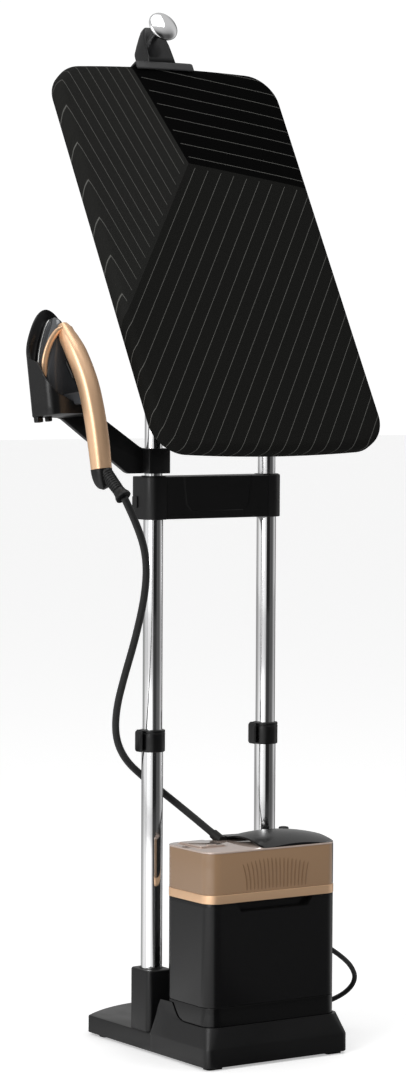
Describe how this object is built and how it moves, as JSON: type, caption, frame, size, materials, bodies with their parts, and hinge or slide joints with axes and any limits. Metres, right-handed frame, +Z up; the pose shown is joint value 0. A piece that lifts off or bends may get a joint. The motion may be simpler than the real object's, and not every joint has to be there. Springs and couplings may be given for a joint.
{
  "type": "garment steamer station",
  "caption": "Upright steam station: a steam generator on a stand, telescopic posts, a tilting padded board and a parked steam head on a hose.",
  "frame": {"origin": "on the floor, midway between the two posts, under the middle foot", "axes": "+X to the user's right, -Y to the front where the user stands, +Z up"},
  "size_m": [0.5882, 0.552, 1.6318],
  "materials": {
    "base_shell": "as matte plastic",
    "ballast_plate": "as cast iron",
    "base_cover": "as matte plastic",
    "base_screws": "as brushed steel",
    "base_feet": "as rubber",
    "lower_tube_left": "as chrome",
    "lower_tube_right": "as chrome",
    "tube_collar_left": "as matte plastic",
    "tube_collar_right": "as matte plastic",
    "boiler_tray": "as gloss plastic",
    "boiler_housing": "as gloss plastic",
    "rear_bridge": "as gloss plastic",
    "boiler": "as aluminium",
    "pump": "as matte plastic",
    "steam_valve": "as brass",
    "control_board": "as matte plastic",
    "tank_coupling": "as matte plastic",
    "hose_outlet": "as matte plastic",
    "cord_gland": "as rubber",
    "mains_cord": "as rubber",
    "cord_coil": "as rubber",
    "mains_plug": "as matte plastic",
    "steam_hose": "as fabric",
    "mid_tube_left": "as chrome",
    "mid_tube_right": "as chrome",
    "crossbar_rear": "as matte plastic",
    "crossbar_front": "as gloss plastic",
    "upper_tube_left": "as chrome",
    "upper_tube_right": "as chrome",
    "tilt_head": "as painted metal",
    "tilt_pin": "as brushed steel",
    "tilt_bracket": "as painted metal",
    "board_panel": "as matte plastic",
    "foam_pad": "as fabric",
    "board_cover": "as fabric",
    "hook_clip": "as matte plastic",
    "hook_block": "as matte plastic",
    "hang_knob": "as chrome",
    "tilt_lever": "as matte plastic",
    "holder_arm": "as matte plastic",
    "clamp_cap": "as matte plastic",
    "clamp_screw": "as brushed steel",
    "holder_pocket": "as gloss plastic",
    "sole_plate": "as aluminium",
    "head_body": "as gloss plastic",
    "handle_grip": "as painted metal",
    "end_cap": "as matte plastic",
    "hose_boot": "as rubber",
    "steam_trigger": "as matte plastic",
    "water_tank": "as gloss plastic",
    "gold_band": "as painted metal",
    "tank_top": "as gloss plastic",
    "fill_flap": "as gloss plastic",
    "power_button": "as matte plastic",
    "collar_lever_left": "as matte plastic",
    "collar_lever_right": "as matte plastic",
    "socket_button_left": "as matte plastic",
    "socket_button_right": "as matte plastic",
    "height_latch_left": "as matte plastic",
    "height_latch_right": "as matte plastic"
  },
  "bodies": {
    "root": {"base_shell": "base_shell", "ballast_plate": "ballast_plate", "base_cover": "base_cover", "base_screws": "base_screws", "base_feet": "base_feet", "lower_tube_left": "lower_tube_left", "lower_tube_right": "lower_tube_right", "tube_collar_left": "tube_collar_left", "tube_collar_right": "tube_collar_right", "boiler_tray": "boiler_tray", "boiler_housing": "boiler_housing", "rear_bridge": "rear_bridge", "boiler": "boiler", "pump": "pump", "steam_valve": "steam_valve", "control_board": "control_board", "tank_coupling": "tank_coupling", "hose_outlet": "hose_outlet", "cord_gland": "cord_gland", "mains_cord": "mains_cord", "cord_coil": "cord_coil", "mains_plug": "mains_plug", "steam_hose": "steam_hose"},
    "mid_stage": {"mid_tube_left": "mid_tube_left", "mid_tube_right": "mid_tube_right", "crossbar_rear": "crossbar_rear", "crossbar_front": "crossbar_front"},
    "upper_stage": {"upper_tube_left": "upper_tube_left", "upper_tube_right": "upper_tube_right", "tilt_head": "tilt_head", "tilt_pin": "tilt_pin"},
    "board": {"tilt_bracket": "tilt_bracket", "board_panel": "board_panel", "foam_pad": "foam_pad", "board_cover": "board_cover", "hook_clip": "hook_clip", "hook_block": "hook_block", "hang_knob": "hang_knob"},
    "tilt_lever": {"tilt_lever": "tilt_lever"},
    "holder": {"holder_arm": "holder_arm", "clamp_cap": "clamp_cap", "clamp_screw": "clamp_screw", "holder_pocket": "holder_pocket"},
    "steam_head": {"sole_plate": "sole_plate", "head_body": "head_body", "handle_grip": "handle_grip", "end_cap": "end_cap", "hose_boot": "hose_boot"},
    "steam_trigger": {"steam_trigger": "steam_trigger"},
    "tank": {"water_tank": "water_tank", "gold_band": "gold_band", "tank_top": "tank_top"},
    "fill_flap": {"fill_flap": "fill_flap"},
    "power_button": {"power_button": "power_button"},
    "collar_lever_left": {"collar_lever_left": "collar_lever_left"},
    "collar_lever_right": {"collar_lever_right": "collar_lever_right"},
    "socket_button_left": {"socket_button_left": "socket_button_left"},
    "socket_button_right": {"socket_button_right": "socket_button_right"},
    "height_latch_left": {"height_latch_left": "height_latch_left"},
    "height_latch_right": {"height_latch_right": "height_latch_right"}
  },
  "joints": [
    {"name": "height_slide", "type": "slide", "parent": "root", "child": "mid_stage", "axis": [0, 0, 1], "range_m": [-0.3, 0], "deforming": ["steam_hose"]},
    {"name": "upper_slide", "type": "slide", "parent": "mid_stage", "child": "upper_stage", "axis": [0, 0, 1], "range_m": [0, 0.12], "deforming": ["steam_hose"]},
    {"name": "board_tilt", "type": "hinge", "parent": "upper_stage", "child": "board", "pos_m": [0, 0, 1.1647], "axis": [1, 0, 0], "range_deg": [-61.05, 28.95]},
    {"name": "tilt_release", "type": "hinge", "parent": "upper_stage", "child": "tilt_lever", "pos_m": [-0.07475, 0, 1.1647], "axis": [1, 0, 0], "range_deg": [-15, 0], "stiffness_Nm_per_rad": 0.4, "springref_deg": 11.46},
    {"name": "holder_swivel", "type": "hinge", "parent": "upper_stage", "child": "holder", "pos_m": [-0.1075, 0, 0.9245], "axis": [0, 0, 1], "range_deg": [-45, 0], "deforming": ["steam_hose"]},
    {"name": "head_lift", "type": "slide", "parent": "holder", "child": "steam_head", "axis": [-0.036, 0.1344, 0.9903], "range_m": [0, 0.12], "deforming": ["steam_hose"]},
    {"name": "trigger_press", "type": "hinge", "parent": "steam_head", "child": "steam_trigger", "pos_m": [-0.28713, -0.0401, 1.08056], "axis": [0.9659, 0.2588, 0], "range_deg": [-4, 0], "stiffness_Nm_per_rad": 0.6, "springref_deg": 5.73},
    {"name": "tank_pull", "type": "slide", "parent": "root", "child": "tank", "axis": [0, -1, 0], "range_m": [0, 0.16]},
    {"name": "flap_hinge", "type": "hinge", "parent": "tank", "child": "fill_flap", "pos_m": [-0.081, -0.07, 0.334], "axis": [1, 0, 0], "range_deg": [-95, 0]},
    {"name": "power_press", "type": "slide", "parent": "root", "child": "power_button", "axis": [0, 0, -1], "range_m": [0, 0.0015], "stiffness_N_per_m": 500, "springref_m": -0.001},
    {"name": "collar_lever_left_swing", "type": "hinge", "parent": "root", "child": "collar_lever_left", "pos_m": [-0.1288, 0.009, 0.4867], "axis": [0, 0, 1], "range_deg": [-75, 0]},
    {"name": "socket_button_left_press", "type": "slide", "parent": "root", "child": "socket_button_left", "axis": [0, -1, 0], "range_m": [0, 0.0028], "stiffness_N_per_m": 400, "springref_m": -0.001},
    {"name": "height_latch_left_press", "type": "slide", "parent": "mid_stage", "child": "height_latch_left", "axis": [1, 0, 0], "range_m": [0, 0.0025], "stiffness_N_per_m": 400, "springref_m": -0.001},
    {"name": "collar_lever_right_swing", "type": "hinge", "parent": "root", "child": "collar_lever_right", "pos_m": [0.0862, 0.009, 0.4867], "axis": [0, 0, 1], "range_deg": [-75, 0]},
    {"name": "socket_button_right_press", "type": "slide", "parent": "root", "child": "socket_button_right", "axis": [0, -1, 0], "range_m": [0, 0.0028], "stiffness_N_per_m": 400, "springref_m": -0.001},
    {"name": "height_latch_right_press", "type": "slide", "parent": "mid_stage", "child": "height_latch_right", "axis": [-1, 0, 0], "range_m": [0, 0.0025], "stiffness_N_per_m": 400, "springref_m": -0.001}
  ]
}
